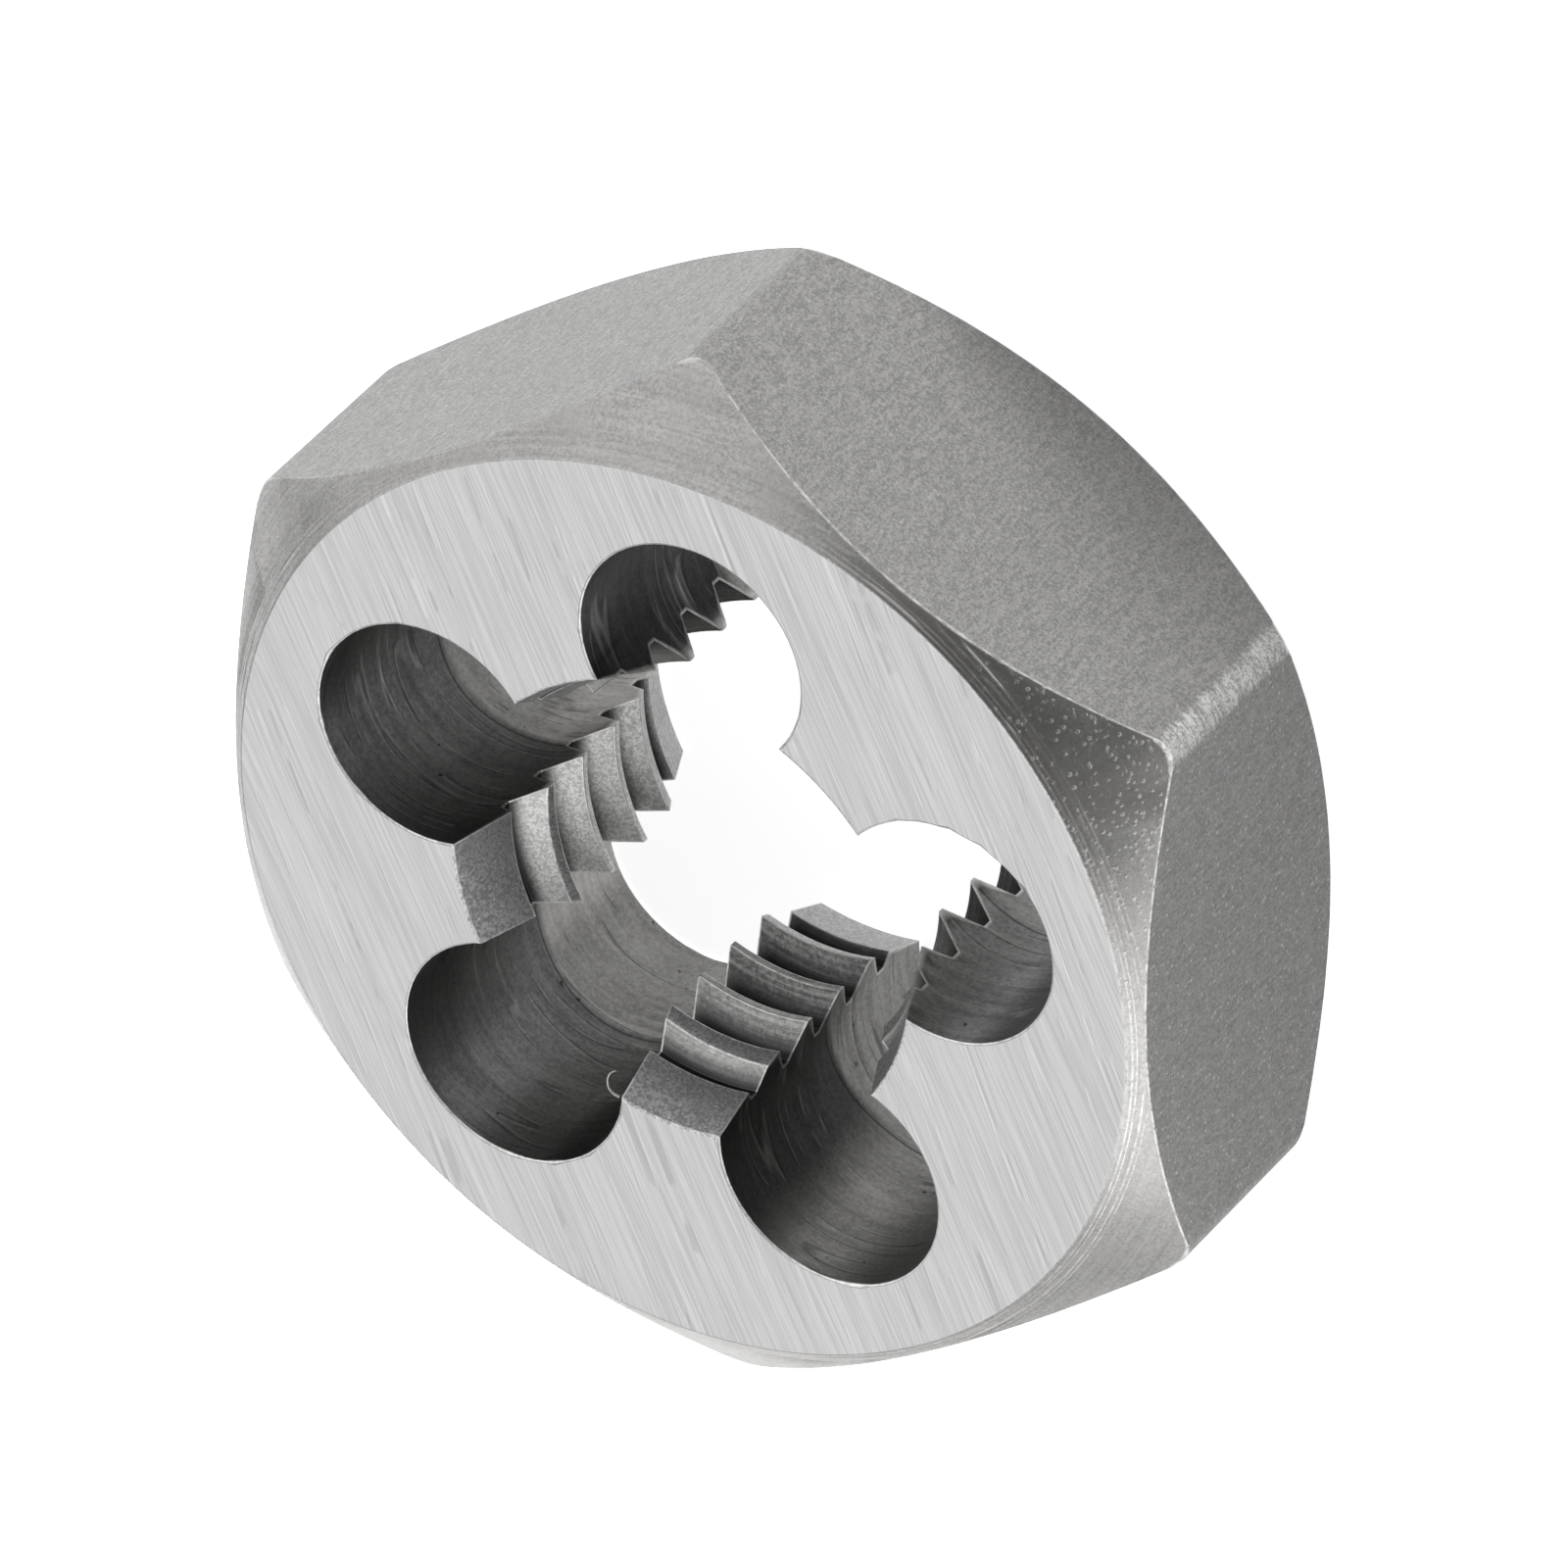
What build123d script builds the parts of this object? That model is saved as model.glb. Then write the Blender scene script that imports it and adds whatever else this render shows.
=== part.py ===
# Hexagonal rethreading die: one piece of tool steel with a threaded bore between five chip holes.
# Millimetres. The origin is the centre of the back face, and +Z runs along the thread to the front face.

from build123d import *
from math import ceil, radians, sqrt, tan
import os

# Hexagonal body
across_flats = 25.4
thickness = 9.525
corner_radius = 1.0
face_inset = 0.36
chamfer_angle = 43.0

# Right-hand thread, and the height at which its groove crosses the +X direction
thread_diameter = 12.0
thread_pitch = 1.5
thread_flank_angle = 60.0
root_relief = 0.08
thread_start = 1.4

# Lead-in cones, which taper the cutting teeth at both ends of the bore
throat_clearance = 0.35
lead_in_angle = 22.5

# Chip holes
chip_hole_count = 5
chip_hole_diameter = 6.07
chip_hole_reach = 0.70
chip_hole_turn = 151.0

# Thread profile: standard minor diameter, teeth that end in a flat of an eighth of the pitch
flank_slope = tan(radians(thread_flank_angle / 2))
sharp_vee_height = thread_pitch / (2 * flank_slope)
minor_radius = thread_diameter / 2 - sharp_vee_height * 5 / 8
crest_half_width = thread_pitch / 16
root_radius = thread_diameter / 2 + root_relief

# Ends of the body
face_radius = across_flats / 2 - face_inset
blank_radius = across_flats / sqrt(3)
chamfer_drop = (blank_radius - face_radius) * tan(radians(chamfer_angle))

# Ends of the bore
throat_radius = thread_diameter / 2 + throat_clearance
lead_in_depth = (throat_radius - minor_radius) / tan(radians(lead_in_angle))

# The chip holes break through the thread's crests by the same reach whatever their size
chip_hole_radius = chip_hole_diameter / 2
chip_hole_circle_radius = minor_radius - chip_hole_reach + chip_hole_radius

# The groove is cut in pieces that reach from one chip hole to the next, and a little past the crests
groove_mouth_radius = minor_radius - crest_half_width
groove_half_width = thread_pitch / 2 - crest_half_width
groove_mouth_half_width = groove_half_width + (minor_radius - groove_mouth_radius) * flank_slope
groove_root_half_width = groove_half_width - (root_radius - minor_radius) * flank_slope
land_angle = 360 / chip_hole_count
first_groove_piece = -2 * chip_hole_count
last_groove_piece = chip_hole_count * ceil(thickness / thread_pitch + 1)

# The piece of groove that crosses one land, its profile drawn in the radial plane at +X
with BuildPart() as groove_piece:
    with BuildLine():
        Helix(pitch=thread_pitch, height=thread_pitch / chip_hole_count, radius=minor_radius)
    with BuildSketch(Plane.XZ):
        with BuildLine():
            Polyline(
                (groove_mouth_radius, -groove_mouth_half_width),
                (root_radius, -groove_root_half_width),
                (root_radius, groove_root_half_width),
                (groove_mouth_radius, groove_mouth_half_width),
                close=True,
            )
        make_face()
    sweep(is_frenet=True)

with BuildPart() as hex_die:
    # Hexagonal bar with rounded corners
    with BuildSketch():
        RegularPolygon(radius=across_flats / 2, side_count=6, major_radius=False)
    extrude(amount=thickness)
    fillet(hex_die.edges().filter_by(Axis.Z), radius=corner_radius)

    # Turned ends: only what lies inside this round blank is kept, which chamfers the six corners
    with BuildSketch(Plane.XZ):
        with BuildLine():
            Polyline(
                (0, 0),
                (face_radius, 0),
                (blank_radius, chamfer_drop),
                (blank_radius, thickness - chamfer_drop),
                (face_radius, thickness),
                (0, thickness),
                close=True,
            )
        make_face()
    revolve(axis=Axis.Z, mode=Mode.INTERSECT)

    # Bore at the thread's minor diameter, opened by a lead-in cone at each end
    with BuildSketch(Plane.XZ):
        with BuildLine():
            Polyline(
                (0, 0),
                (throat_radius, 0),
                (minor_radius, lead_in_depth),
                (minor_radius, thickness - lead_in_depth),
                (throat_radius, thickness),
                (0, thickness),
                close=True,
            )
        make_face()
    revolve(axis=Axis.Z, mode=Mode.SUBTRACT)

    # Chip holes, which part the bore into cutting lands with sharp edges
    with BuildSketch():
        with PolarLocations(chip_hole_circle_radius, chip_hole_count, start_angle=chip_hole_turn):
            Circle(chip_hole_radius)
    extrude(amount=thickness, mode=Mode.SUBTRACT)

    # Thread groove: each piece is turned on by one land and raised by its share of the pitch
    groove_places = []
    for piece in range(first_groove_piece, last_groove_piece):
        piece_angle = chip_hole_turn + piece * land_angle
        piece_height = thread_start + thread_pitch * piece_angle / 360
        groove_places.append(Location((0, 0, piece_height), (0, 0, piece_angle)))
    with Locations(*groove_places):
        add(groove_piece.part, mode=Mode.SUBTRACT)

hex_die.part.label = "hex_die"

os.makedirs("parts", exist_ok=True)
export_step(hex_die.part, "parts/hex_die.step")
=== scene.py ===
# Hexagonal rethreading die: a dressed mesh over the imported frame, with its finishes, studio and camera.
# Tables give millimetres and degrees, and the scene is in metres.
from math import acos, cos, degrees, floor, radians, sin, sqrt, tan

import bmesh
import bpy
from mathutils import Matrix, Vector, noise
from mathutils.geometry import tessellate_polygon


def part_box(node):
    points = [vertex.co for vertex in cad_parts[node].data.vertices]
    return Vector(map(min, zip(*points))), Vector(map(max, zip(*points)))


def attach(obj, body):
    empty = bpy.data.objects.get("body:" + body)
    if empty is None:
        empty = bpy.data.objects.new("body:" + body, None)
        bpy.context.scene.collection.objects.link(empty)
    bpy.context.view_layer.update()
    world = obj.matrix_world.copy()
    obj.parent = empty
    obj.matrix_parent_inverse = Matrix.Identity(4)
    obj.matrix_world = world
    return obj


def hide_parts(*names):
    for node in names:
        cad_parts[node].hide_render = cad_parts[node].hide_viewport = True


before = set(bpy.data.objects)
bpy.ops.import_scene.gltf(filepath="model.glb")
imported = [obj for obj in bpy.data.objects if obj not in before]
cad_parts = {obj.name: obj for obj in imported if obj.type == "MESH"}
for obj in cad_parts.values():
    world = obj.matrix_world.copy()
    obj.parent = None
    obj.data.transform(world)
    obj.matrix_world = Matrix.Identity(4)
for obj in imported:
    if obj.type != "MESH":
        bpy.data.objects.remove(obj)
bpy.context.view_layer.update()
dieLow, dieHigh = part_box("hex_die")
mm = 0.001

# The die's own sizes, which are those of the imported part
die = {
    "acrossFlats": (dieHigh.y - dieLow.y) / mm,
    "thickness": dieHigh.z / mm,
    "cornerRadius": 1.0,
    "faceInset": 0.36,
    "chamferAngle": 43.0,
    "threadDiameter": 12.0,
    "threadPitch": 1.5,
    "flankAngle": 60.0,
    "rootRelief": 0.08,
    "threadStart": 1.4,
    "throatClearance": 0.35,
    "leadInAngle": 22.5,
    "chipHoles": 5,
    "chipHoleDiameter": 6.07,
    "chipHoleReach": 0.7,
    "chipHoleTurn": 151.0,
}

# How far each edge is rounded off
edges = {
    "faceRim": 0.05,
    "chamferCrease": 0.045,
    "hexCorner": 0.11,
    "throatRim": 0.06,
    "chipHoleRim": 0.055,
    "toothCrest": 0.04,
    "toothRoot": 0.03,
    "dullTip": 0.12,
    "roundingSteps": 3,
    "longestShare": 0.45,  # of a stretch that the rounding at one end of it may take
    "creaseSwing": 0.5,  # how much the chamfer's crease varies, and over how many stretches in a millimetre
    "creasePatches": 1.3,
}

# How finely each stretch is divided
steps = {
    "landColumns": (
        -1, -0.985, -0.96, -0.92, -0.84, -0.7, -0.56, -0.42, -0.28, -0.14,
        0, 0.14, 0.28, 0.42, 0.56, 0.7, 0.84, 0.96, 1,
    ),
    "wallRun": 5,
    "wallRunEnd": 120,
    "wallColumns": 44,
    "wallRows": 4,
    "flatColumns": 36,
    "cornerColumns": 10,
    "equalHeight": 0.004,
}

# How the mesh is smoothed: the angle from which an edge is sharp, how much the larger faces weigh, and how
# upright a normal has to be for its polygon to count as part of a ground face
smoothing = {
    "sharpFrom": 33.0,
    "faceWeight": 60,
    "levelNormal": 0.999999,
}

# Painted highlight along the lands' sharp edges, in place of light catching them. Each land runs from -1 to
# 1:
# how bright its two edges are painted, up to where the first one reaches, and how bright the rim of the chip
# hole is painted beside them
landEdgeHighlight = {
    "edge": 0.9,
    "edgeReach": -0.97,
    "besideEdge": 0.8,
}

# Nicks in the chip holes' rims, which leave one side of each rim even: how wide they get, how closely they
# follow, the noise level that they start above, and how far from the middle of the even side they begin
rimNicks = {
    "reach": 2.2,
    "perDegree": 0.16,
    "level": 0.12,
    "from": 65.0,
    "over": 25.0,
}

# Wear of the hexagon, from the -Y flat round towards +X: how bright each flat's creases are rubbed, and how
# far the corner that follows each flat is scuffed
hexagonWear = {
    "crease": (0.6, 0.2, 0.6, 0.7, 0.5, 1.0),
    "corner": (0.25, 0.4, 0.35, 0.5, 0.6, 1.0),
    "besideCorner": 0.35,  # share of a corner's scuffs that reaches its ends and the flats
    "cornerCrease": 0.3,  # brightness of the crease at a corner without scuffs
}

# Rubbed face rim and turning grooves: how bright, towards which side, and how steeply it fades
rimRub = {"from": 0.2, "to": 0.9, "turn": -132.0, "fade": 4}
grooveRub = {"turn": -163.0, "fade": 6}

# How the turning grooves' depth varies: least and middle share, swing, and patches in a millimetre
grooveDepth = {"least": 0.1, "middle": 0.45, "swing": 1.1, "broad": 0.35, "fine": 1.2}

# Turning grooves in the chamfers: distance down the cone from the face, half width, depth
turningGrooves = [
    (0.16, 0.030, 0.008),
    (0.27, 0.025, 0.007),
    (0.46, 0.035, 0.012),
    (0.58, 0.025, 0.008),
]

thickness = die["thickness"]
pitch = die["threadPitch"]
flankSlope = tan(radians(die["flankAngle"] / 2))
sharpVee = pitch / (2 * flankSlope)
minorRadius = die["threadDiameter"] / 2 - sharpVee * 5 / 8
crestHalfWidth = pitch / 16
rootRadius = die["threadDiameter"] / 2 + die["rootRelief"]
throatRadius = die["threadDiameter"] / 2 + die["throatClearance"]
leadInSlope = tan(radians(die["leadInAngle"]))
holeRadius = die["chipHoleDiameter"] / 2
holeRing = minorRadius - die["chipHoleReach"] + holeRadius
landTurn = 360 / die["chipHoles"]
faceRadius = die["acrossFlats"] / 2 - die["faceInset"]
chamferSlope = tan(radians(die["chamferAngle"]))

finishes = ["groundFace", "drawnFlat", "turnedChamfer", "drilledWall", "leadInCone", "cutThread"]


def addObject(name, data):
    made = bpy.data.objects.new(name, data)
    bpy.context.scene.collection.objects.link(made)
    return made


def toMesh(name, skin):
    mesh = bpy.data.meshes.new(name)
    skin.to_mesh(mesh)
    skin.free()
    return mesh


# Mesh: every surface is a row of columns, and neighbouring columns are stitched together

def newSkin():
    return {"points": [], "edgeWearAndHighlight": [], "scuff": [], "faces": [], "finish": []}


def addPoint(skin, x, y, z, edgeWearAndHighlight=0.0, scuff=0.0):
    skin["points"].append((x * mm, y * mm, z * mm))
    skin["edgeWearAndHighlight"].append(edgeWearAndHighlight)
    skin["scuff"].append(scuff)
    return len(skin["points"]) - 1


def addFace(skin, corners, finish):
    skin["faces"].append(corners)
    skin["finish"].append(finishes.index(finish))


def stitch(skin, left, right):
    # A column is a list of (point, place in the order, finish of the stretch above it)
    a = b = 0
    while a < len(left) - 1 or b < len(right) - 1:
        leftDone = a == len(left) - 1
        rightDone = b == len(right) - 1
        gap = 0 if leftDone or rightDone else left[a + 1][1] - right[b + 1][1]
        if not leftDone and not rightDone and abs(gap) < steps["equalHeight"]:
            addFace(skin, (left[a][0], right[b][0], right[b + 1][0], left[a + 1][0]), left[a][2])
            a += 1
            b += 1
        elif rightDone or (not leftDone and gap < 0):
            addFace(skin, (left[a][0], right[b][0], left[a + 1][0]), left[a][2])
            a += 1
        else:
            addFace(skin, (left[a][0], right[b][0], right[b + 1][0]), right[b][2])
            b += 1


def stitchRow(skin, columns):
    for left, right in zip(columns, columns[1:]):
        stitch(skin, left, right)


def cutPoint(corner, neighbour, reach):
    dz = neighbour[0] - corner[0]
    dr = neighbour[1] - corner[1]
    share = min(reach / sqrt(dz * dz + dr * dr), edges["longestShare"])
    return corner[0] + dz * share, corner[1] + dr * share


def roundCorners(corners):
    # A corner is (height, radius, reach of the rounding, wear, finish of the stretch that follows, place in
    # the order). The first and the last one only show where their stretch leads
    rounded = []
    count = edges["roundingSteps"]
    for before, corner, after in zip(corners, corners[1:], corners[2:]):
        height, radius, reach, wear, finish, order = corner
        if reach == 0:
            rounded.append((height, radius, wear, finish, order))
            continue
        start = cutPoint(corner, before, reach)
        end = cutPoint(corner, after, reach)
        for step in range(count + 1):
            t = step / count
            z = (1 - t) ** 2 * start[0] + 2 * t * (1 - t) * height + t * t * end[0]
            r = (1 - t) ** 2 * start[1] + 2 * t * (1 - t) * radius + t * t * end[1]
            rounded.append((z, r, wear * 4 * t * (1 - t), before[4] if t < 0.5 else finish, order + t / 2))
    return rounded


# Chip holes and the lands between them

def rimReach(turn):
    # How far the rim is rounded at one turn
    share = min(1.0, max(0.0, (abs(turn % 360 - 180) - rimNicks["from"]) / rimNicks["over"]))
    nick = max(0.0, noise.noise(Vector((turn * rimNicks["perDegree"], 3.7, 0))) - rimNicks["level"])
    return edges["chipHoleRim"] * (1 + rimNicks["reach"] * nick * share)


def holeRadiusAt(height, reach):
    depth = min(height, thickness - height)
    if depth >= reach:
        return holeRadius
    return holeRadius + reach - sqrt(max(0.0, reach * reach - (reach - depth) ** 2))


def landEdgeAngle(landAngle, side, radius, height):
    hole = holeRadiusAt(height, edges["chipHoleRim"])
    reach = degrees(acos((holeRing ** 2 + radius ** 2 - hole ** 2) / (2 * holeRing * radius)))
    return landAngle + side * (landTurn / 2 - reach)


def coneGap(corner):
    # How far a corner of the thread stands outside the lead-in cone
    return corner[1] - throatRadius + leadInSlope * min(corner[0], thickness - corner[0])


def tipLoss(side):
    # The teeth are dulled where a land begins
    radius = edges["dullTip"]
    inside = radians(landTurn / 4) * minorRadius * (side + 1)
    return 0.0 if inside > radius else radius - sqrt(radius * radius - (radius - inside) ** 2)


def threadCorners(landAngle, side):
    crest = minorRadius + tipLoss(side)
    grooveHalf = pitch / 2 - crestHalfWidth - tipLoss(side) * flankSlope
    rootHalf = grooveHalf - (rootRadius - crest) * flankSlope
    turnProfile = [
        (-grooveHalf, crest, edges["toothCrest"], 1.0),
        (-rootHalf, rootRadius, edges["toothRoot"], 0.0),
        (rootHalf, rootRadius, edges["toothRoot"], 0.0),
        (grooveHalf, crest, edges["toothCrest"], 1.0),
    ]
    firstTurn = floor(-die["threadStart"] / pitch - landAngle / 360) - 1
    corners = []
    for turn in range(firstTurn, firstTurn + floor(thickness / pitch) + 4):
        for offset, radius, reach, wear in turnProfile:
            angle = landEdgeAngle(landAngle, side, radius, thickness / 2)
            height = die["threadStart"] + pitch * (turn + angle / 360) + offset
            corners.append((height, radius, reach, wear, "cutThread", 0))
    return corners


def clipToCones(corners):
    kept = []
    for here, after in zip(corners, corners[1:]):
        gapHere = coneGap(here)
        gapAfter = coneGap(after)
        if gapHere > 0:
            kept.append(here)
        if (gapHere > 0) != (gapAfter > 0):
            share = gapHere / (gapHere - gapAfter)
            height = here[0] + (after[0] - here[0]) * share
            radius = here[1] + (after[1] - here[1]) * share
            finish = "leadInCone" if gapHere > 0 else "cutThread"
            kept.append((height, radius, edges["toothCrest"], 1.0, finish, 0))
    return kept


def landColumn(skin, landAngle, side):
    rim = edges["throatRim"]
    corners = [(0, throatRadius + 1, 0, 0, "groundFace", 0), (0, throatRadius, rim, 1.0, "leadInCone", 0)]
    corners += clipToCones(threadCorners(landAngle, side))
    corners.append((thickness, throatRadius, rim, 1.0, "groundFace", 0))
    corners.append((thickness, throatRadius + 1, 0, 0, "groundFace", 0))
    column = []
    for height, radius, wear, finish, _ in roundCorners(corners):
        angle = landEdgeAngle(landAngle, side, radius, height)
        x = radius * cos(radians(angle))
        y = radius * sin(radians(angle))
        onFace = height in (0, thickness)
        # A bright line is painted along the land's sharp edges as a highlight
        atEdge = side < landEdgeHighlight["edgeReach"] or side == 1
        edgeWearAndHighlight = landEdgeHighlight["edge"] if atEdge and not onFace else wear
        point = addPoint(skin, x, y, height, edgeWearAndHighlight)
        column.append((point, height - pitch * angle / 360, finish, height, radius))
    return column


def wallPoint(skin, holeAngle, turn, height, reach, edgeWearAndHighlight=0.0):
    radius = holeRadiusAt(height, reach)
    x = holeRing * cos(radians(holeAngle)) + radius * cos(radians(holeAngle + turn))
    y = holeRing * sin(radians(holeAngle)) + radius * sin(radians(holeAngle + turn))
    return addPoint(skin, x, y, height, edgeWearAndHighlight)


def wallRun(skin, holeAngle, landEdge, direction):
    # Columns that lead from a land's toothed edge to a straight line down the hole's wall
    columns = [[(point, height, "drilledWall") for point, _, _, height, _ in landEdge]]
    reach = edges["chipHoleRim"]
    for step in range(1, steps["wallRun"] + 1):
        share = step / steps["wallRun"]
        column = []
        for _, _, _, height, radius in landEdge:
            hole = holeRadiusAt(height, reach)
            fromAxis = degrees(acos((holeRing ** 2 + hole ** 2 - radius ** 2) / (2 * holeRing * hole)))
            turn = 180 - fromAxis
            turn += (steps["wallRunEnd"] - turn) * share
            # Painted highlight on the hole's rim beside the land's edge
            wear = landEdgeHighlight["besideEdge"] if 0 < min(height, thickness - height) < reach else 0.0
            point = wallPoint(skin, holeAngle, direction * turn, height, reach, wear)
            column.append((point, height, "drilledWall"))
        columns.append(column)
    return columns


def wallColumn(skin, holeAngle, turn):
    # The place in the order is the height that a row has under an even rim, so nicks don't move the stitching
    reach = rimReach(turn + holeAngle * 3)
    heights = []
    for rim in (reach, edges["chipHoleRim"]):
        rows = [rim * (1 - cos(radians(slant))) for slant in (0, 30, 60, 90)]
        inner = [
            rim + (thickness - 2 * rim) * row / steps["wallRows"] for row in range(1, steps["wallRows"])
        ]
        heights.append(rows + inner + [thickness - row for row in reversed(rows)])
    atRim = [0.0, 1.0, 1.0, 0.0]
    wear = atRim + [0.0] * (steps["wallRows"] - 1) + atRim[::-1]
    return [
        (wallPoint(skin, holeAngle, turn, height, reach, wornAndHighlight), order, "drilledWall")
        for height, order, wornAndHighlight in zip(*heights, wear)
    ]


def buildBore(skin):
    # Returns the closed outlines of the opening on the back and the front face
    lands = []
    for land in range(die["chipHoles"]):
        landAngle = die["chipHoleTurn"] + landTurn * (land - 0.5)
        columns = [landColumn(skin, landAngle, side) for side in steps["landColumns"]]
        stitchRow(skin, columns)
        lands.append(columns)
    outlines = ([], [])
    for hole in range(die["chipHoles"]):
        holeAngle = die["chipHoleTurn"] + landTurn * hole
        before = lands[hole]
        after = lands[(hole + 1) % die["chipHoles"]]
        columns = wallRun(skin, holeAngle, before[-1], -1)
        end = steps["wallRunEnd"]
        count = steps["wallColumns"]
        for column in range(1, count):
            columns.append(wallColumn(skin, holeAngle, -end + 2 * end * column / count))
        columns += reversed(wallRun(skin, holeAngle, after[0], 1))
        stitchRow(skin, columns)
        for end, outline in zip((0, -1), outlines):
            outline += [column[end][0] for column in before[:-1] + columns[:-1]]
    return outlines


# Hexagonal outside

def hexOutline():
    # Points round the hexagon: x, y, whether on a rounded corner, how scuffed, and how worn the crease is
    flat = die["acrossFlats"] / 2
    corner = die["cornerRadius"]
    halfSide = radians(30)
    halfLength = (flat - corner) * tan(halfSide)
    cornerCentre = (flat - corner) / cos(halfSide)
    flatShare = hexagonWear["besideCorner"]
    leastCrease = hexagonWear["cornerCrease"]
    outline = []
    for side in range(6):
        normal = radians(60 * side - 90)
        crease = hexagonWear["crease"][side]
        before = hexagonWear["corner"][side - 1]
        after = hexagonWear["corner"][side]
        for column in range(steps["flatColumns"] + 1):
            along = halfLength * (2 * column / steps["flatColumns"] - 1)
            x = flat * cos(normal) - along * sin(normal)
            y = flat * sin(normal) + along * cos(normal)
            scuff = flatShare * {0: before, steps["flatColumns"]: after}.get(column, 0.0)
            outline.append((x, y, 0.0, scuff, crease))
        for column in range(1, steps["cornerColumns"]):
            turn = normal + radians(60 * column / steps["cornerColumns"])
            x = cornerCentre * cos(normal + halfSide) + corner * cos(turn)
            y = cornerCentre * sin(normal + halfSide) + corner * sin(turn)
            middle = 1 - abs(2 * column / steps["cornerColumns"] - 1) ** 3
            scuff = after * (flatShare + (1 - flatShare) * middle)
            outline.append((x, y, 1.0, scuff, leastCrease + (1 - leastCrease) * after))
    return outline


def nearness(x, y, rub):
    # 1 in the middle of the rubbed side, falling to 0 a quarter turn away
    turn = radians(rub["turn"])
    return max(0.0, (x * cos(turn) + y * sin(turn)) / sqrt(x * x + y * y)) ** rub["fade"]


def grooveCorners(x, y, length, tilt):
    # Corners of the turning grooves that fit on a chamfer of this length, from the face outwards
    corners = []
    for order, (distance, halfWidth, depth) in enumerate(turningGrooves):
        if distance + halfWidth > length - edges["hexCorner"]:
            continue
        uneven = grooveDepth["middle"]
        for patches in (grooveDepth["broad"], grooveDepth["fine"]):
            spot = Vector((x * patches, y * patches, order * 4.0))
            uneven += grooveDepth["swing"] * noise.noise(spot)
        for step, cut in ((-1, 0.0), (0, depth * max(grooveDepth["least"], uneven)), (1, 0.0)):
            along = distance + step * halfWidth
            drop = along * sin(tilt) + cut * cos(tilt)
            radius = faceRadius + along * cos(tilt) - cut * sin(tilt)
            wear = 0.0 if step else nearness(x, y, grooveRub)
            corners.append((drop, radius, 0, wear, "turnedChamfer", 3 * order + step + 3))
    return corners


def outsideColumn(skin, x, y, onCorner, scuff, creaseWear):
    # Places in the order: face rim, turning grooves and crease, then the same the other way round
    creaseOrder, lastOrder = 100, 300
    radius = sqrt(x * x + y * y)
    drop = (radius - faceRadius) * chamferSlope
    tilt = radians(die["chamferAngle"])
    length = (radius - faceRadius) / cos(tilt)
    crease = edges["chamferCrease"] + onCorner * (edges["hexCorner"] - edges["chamferCrease"])
    spot = Vector((x * edges["creasePatches"], y * edges["creasePatches"], 0))
    crease *= 1 + edges["creaseSwing"] * noise.noise(spot)
    rimWear = rimRub["from"] + (rimRub["to"] - rimRub["from"]) * nearness(x, y, rimRub)
    half = [(0, faceRadius - 1, 0, 0, "groundFace", 0)]
    half.append((0, faceRadius, edges["faceRim"], rimWear, "turnedChamfer", 1))
    half += grooveCorners(x, y, length, tilt)
    half.append((drop, radius, crease, creaseWear, "drawnFlat", creaseOrder))
    otherHalf = []
    for height, reach, rounding, wear, finish, order in reversed(half):
        above = {"drawnFlat": "turnedChamfer"}.get(finish, "groundFace" if order < 2 else finish)
        otherHalf.append((thickness - height, reach, rounding, wear, above, lastOrder - order))
    column = []
    for height, reach, wear, finish, order in roundCorners(half + otherHalf):
        scuffHere = scuff if finish == "drawnFlat" or order >= creaseOrder else 0.0
        point = addPoint(skin, x * reach / radius, y * reach / radius, height, wear, scuffHere)
        column.append((point, order, finish))
    return column


def buildOutside(skin):
    columns = [outsideColumn(skin, *place) for place in hexOutline()]
    stitchRow(skin, columns + columns[:1])
    return [column[0][0] for column in columns], [column[-1][0] for column in columns]


def buildFace(skin, outside, opening):
    loops = [[Vector(skin["points"][point]) for point in loop] for loop in (outside, opening)]
    numbers = outside + opening
    for triangle in tessellate_polygon(loops):
        addFace(skin, tuple(numbers[corner] for corner in triangle), "groundFace")


def keepFacesFlat(mesh):
    # The border of each ground face is sharp, so its long triangles take no shading from the rounded edges
    flatSides = {}
    for polygon in mesh.polygons:
        if abs(polygon.normal.z) > smoothing["levelNormal"]:
            for key in polygon.edge_keys:
                flatSides[key] = flatSides.get(key, 0) + 1
    for edge in mesh.edges:
        if flatSides.get(edge.key) == 1:
            edge.use_edge_sharp = True


def buildDie():
    skin = newSkin()
    backOpening, frontOpening = buildBore(skin)
    print("scene: bore, lands and chip holes have", len(skin["faces"]), "faces")
    backOutside, frontOutside = buildOutside(skin)
    buildFace(skin, backOutside, backOpening)
    buildFace(skin, frontOutside, frontOpening)
    print("scene: whole die has", len(skin["faces"]), "faces")
    mesh = bpy.data.meshes.new("hexDieSkin")
    mesh.from_pydata(skin["points"], [], skin["faces"])
    mesh.polygons.foreach_set("material_index", skin["finish"])
    # The edge attribute holds rubbed edges and also the painted highlight along the lands' sharp edges
    for name in ("edgeWearAndHighlight", "scuff"):
        mesh.attributes.new(name, "FLOAT", "POINT").data.foreach_set("value", skin[name])
    work = bmesh.new()
    work.from_mesh(mesh)
    bmesh.ops.recalc_face_normals(work, faces=work.faces)
    work.to_mesh(mesh)
    work.free()
    mesh.shade_smooth()
    mesh.set_sharp_from_angle(angle=radians(smoothing["sharpFrom"]))
    keepFacesFlat(mesh)
    skinObject = addObject("hexDieSteel", mesh)
    evenNormals = skinObject.modifiers.new("evenNormals", "WEIGHTED_NORMAL")
    evenNormals.keep_sharp = True
    evenNormals.weight = smoothing["faceWeight"]
    return skinObject


# Shader node helpers: where one takes a value, it may be a plain value or another node's socket

def link(tree, source, target):
    tree.links.new(source, target)


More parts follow.
